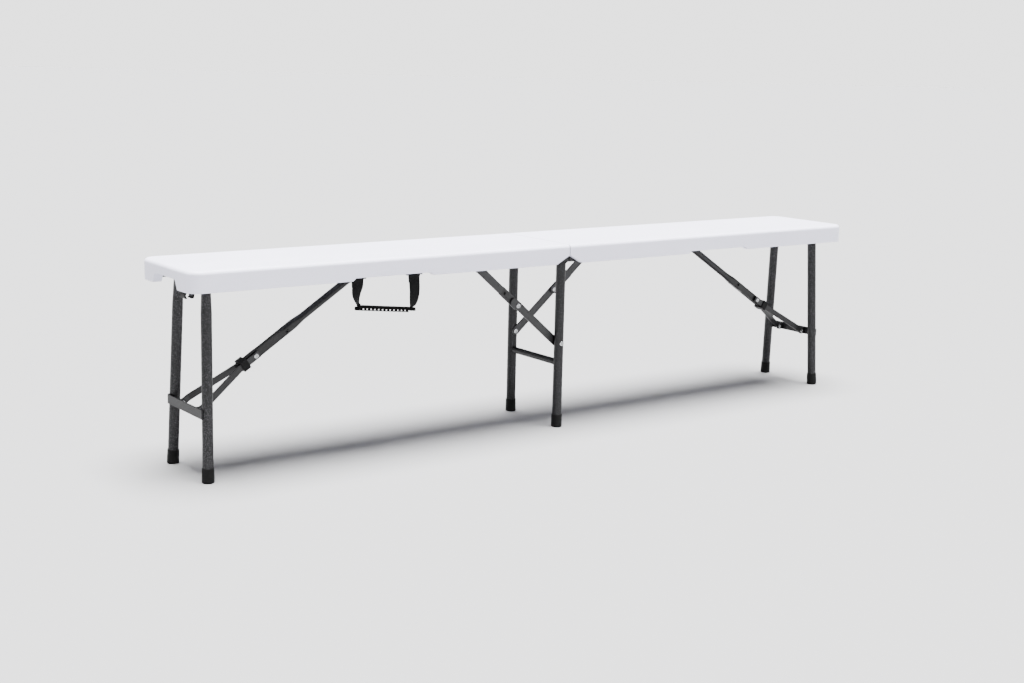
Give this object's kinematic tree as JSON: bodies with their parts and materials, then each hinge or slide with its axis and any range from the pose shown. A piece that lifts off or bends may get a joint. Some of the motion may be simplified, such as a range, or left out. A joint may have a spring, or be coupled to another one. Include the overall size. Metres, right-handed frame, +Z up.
{
  "type": "folding bench",
  "caption": "Long folding bench: a white moulded seat that folds in half over a middle leg frame, with folding end leg frames, elbow braces and a webbing carry handle.",
  "frame": {"origin": "middle of the footprint, on the floor under the seat's centre", "axes": "+X along the seat, +Y across it away from the side with the handle, +Z up"},
  "size_m": [1.83, 0.245, 0.428],
  "materials": {
    "white_plastic": "moulded, fine orange-peel grain, semi-matt",
    "grey_steel": "dark grey hammertone powder coat",
    "zinc_fasteners": "zinc-plated",
    "black_caps": "moulded, satin",
    "black_plastic": "moulded, satin",
    "webbing": "woven webbing",
    "black_grip": "moulded, satin, ribbed below"
  },
  "bodies": {
    "centre_frame": {"centre_leg_near": "grey_steel", "centre_leg_far": "grey_steel", "hinge_plates": "grey_steel", "centre_crossbar": "grey_steel", "centre_top_tube": "grey_steel", "hinge_pins": "zinc_fasteners", "centre_leg_rivets": "zinc_fasteners", "centre_foot_caps": "black_caps"},
    "left_half": {"left_seat_half": "white_plastic", "left_rail_near": "grey_steel", "left_rail_far": "grey_steel", "left_rail_screws": "zinc_fasteners", "left_brace_rod": "grey_steel", "left_centre_brace_bracket": "grey_steel", "left_centre_brace_pin": "zinc_fasteners", "storage_clip": "black_plastic", "handle_anchors": "grey_steel"},
    "left_end_frame": {"left_end_leg_near": "grey_steel", "left_end_leg_far": "grey_steel", "left_end_foot_caps": "black_caps", "left_end_pivot_tube": "grey_steel", "left_end_crossbar": "grey_steel", "left_crossbar_lugs": "grey_steel", "left_crossbar_rivets": "zinc_fasteners"},
    "left_end_link": {"left_end_brace_link": "grey_steel"},
    "left_v_bars": {"left_v_bar_near": "grey_steel", "left_v_bar_far": "grey_steel", "left_elbow_rivets": "zinc_fasteners", "left_lock_shoes": "black_plastic"},
    "left_ring": {"left_lock_ring": "black_plastic"},
    "left_brace_upper": {"left_centre_brace_upper": "grey_steel", "left_centre_elbow_rivet_inner": "zinc_fasteners"},
    "left_brace_lower": {"left_centre_brace_lower": "grey_steel", "left_centre_elbow_rivet_outer": "zinc_fasteners"},
    "right_half": {"right_seat_half": "white_plastic", "right_rail_near": "grey_steel", "right_rail_far": "grey_steel", "right_rail_screws": "zinc_fasteners", "right_brace_rod": "grey_steel", "right_centre_brace_bracket": "grey_steel", "right_centre_brace_pin": "zinc_fasteners"},
    "right_end_frame": {"right_end_leg_near": "grey_steel", "right_end_leg_far": "grey_steel", "right_end_foot_caps": "black_caps", "right_end_pivot_tube": "grey_steel", "right_end_crossbar": "grey_steel", "right_crossbar_lugs": "grey_steel", "right_crossbar_rivets": "zinc_fasteners"},
    "right_end_link": {"right_end_brace_link": "grey_steel"},
    "right_v_bars": {"right_v_bar_near": "grey_steel", "right_v_bar_far": "grey_steel", "right_elbow_rivets": "zinc_fasteners", "right_lock_shoes": "black_plastic"},
    "right_ring": {"right_lock_ring": "black_plastic"},
    "right_brace_upper": {"right_centre_brace_upper": "grey_steel", "right_centre_elbow_rivet_inner": "zinc_fasteners"},
    "right_brace_lower": {"right_centre_brace_lower": "grey_steel", "right_centre_elbow_rivet_outer": "zinc_fasteners"},
    "handle": {"handle_strap": "webbing", "handle_grip": "black_grip"}
  },
  "joints": [
    {"name": "left_half_fold", "type": "hinge", "parent": "centre_frame", "child": "left_half", "pos_m": [-0.019, 0, 0.399], "axis": [0, -1, 0], "range_deg": [0, 90]},
    {"name": "left_end_fold", "type": "hinge", "parent": "left_half", "child": "left_end_frame", "pos_m": [-0.868, 0, 0.396], "axis": [0, -1, 0], "range_deg": [0, 91.1]},
    {"name": "left_link_turn", "type": "hinge", "parent": "left_half", "child": "left_end_link", "pos_m": [-0.45, 0, 0.403], "axis": [0, -1, 0], "range_deg": [-32.6, 0]},
    {"name": "left_v_turn", "type": "hinge", "parent": "left_end_frame", "child": "left_v_bars", "pos_m": [-0.866, 0, 0.137], "axis": [0, -1, 0], "range_deg": [0, 56.31]},
    {"name": "left_ring_slide", "type": "slide", "parent": "left_end_link", "child": "left_ring", "axis": [-0.8425, 0, -0.5387], "range_m": [-0.013, 0]},
    {"name": "left_upper_brace_turn", "type": "hinge", "parent": "left_half", "child": "left_brace_upper", "pos_m": [-0.2145, -0.072, 0.3805], "axis": [0, -1, 0], "range_deg": [0, 45.24]},
    {"name": "left_lower_brace_turn", "type": "hinge", "parent": "centre_frame", "child": "left_brace_lower", "pos_m": [0, -0.077, 0.1975], "axis": [0, -1, 0], "range_deg": [-44.78, 0]},
    {"name": "right_half_fold", "type": "hinge", "parent": "centre_frame", "child": "right_half", "pos_m": [0.019, 0, 0.399], "axis": [0, 1, 0], "range_deg": [0, 90]},
    {"name": "right_end_fold", "type": "hinge", "parent": "right_half", "child": "right_end_frame", "pos_m": [0.868, 0, 0.396], "axis": [0, 1, 0], "range_deg": [0, 91.1]},
    {"name": "right_link_turn", "type": "hinge", "parent": "right_half", "child": "right_end_link", "pos_m": [0.45, 0, 0.403], "axis": [0, 1, 0], "range_deg": [-32.6, 0]},
    {"name": "right_v_turn", "type": "hinge", "parent": "right_end_frame", "child": "right_v_bars", "pos_m": [0.866, 0, 0.137], "axis": [0, 1, 0], "range_deg": [0, 56.31]},
    {"name": "right_ring_slide", "type": "slide", "parent": "right_end_link", "child": "right_ring", "axis": [0.8425, 0, -0.5387], "range_m": [-0.013, 0]},
    {"name": "right_upper_brace_turn", "type": "hinge", "parent": "right_half", "child": "right_brace_upper", "pos_m": [0.2145, 0.072, 0.3805], "axis": [0, 1, 0], "range_deg": [0, 45.24]},
    {"name": "right_lower_brace_turn", "type": "hinge", "parent": "centre_frame", "child": "right_brace_lower", "pos_m": [0, 0.077, 0.1975], "axis": [0, 1, 0], "range_deg": [-44.78, 0]},
    {"name": "handle_swing", "type": "hinge", "parent": "left_half", "child": "handle", "pos_m": [-0.474, -0.1056, 0.388], "axis": [-1, 0, 0], "range_deg": [-75, 90]}
  ],
  "couplings": [
    {"joint": "left_link_turn", "follows": "left_end_fold", "ratio": -0.35775},
    {"joint": "left_v_turn", "follows": "left_end_fold", "ratio": 0.61805},
    {"joint": "left_upper_brace_turn", "follows": "left_half_fold", "ratio": 0.50258},
    {"joint": "left_lower_brace_turn", "follows": "left_half_fold", "ratio": -0.49741},
    {"joint": "right_link_turn", "follows": "right_end_fold", "ratio": -0.35775},
    {"joint": "right_v_turn", "follows": "right_end_fold", "ratio": 0.61805},
    {"joint": "right_upper_brace_turn", "follows": "right_half_fold", "ratio": 0.50258},
    {"joint": "right_lower_brace_turn", "follows": "right_half_fold", "ratio": -0.49741}
  ]
}
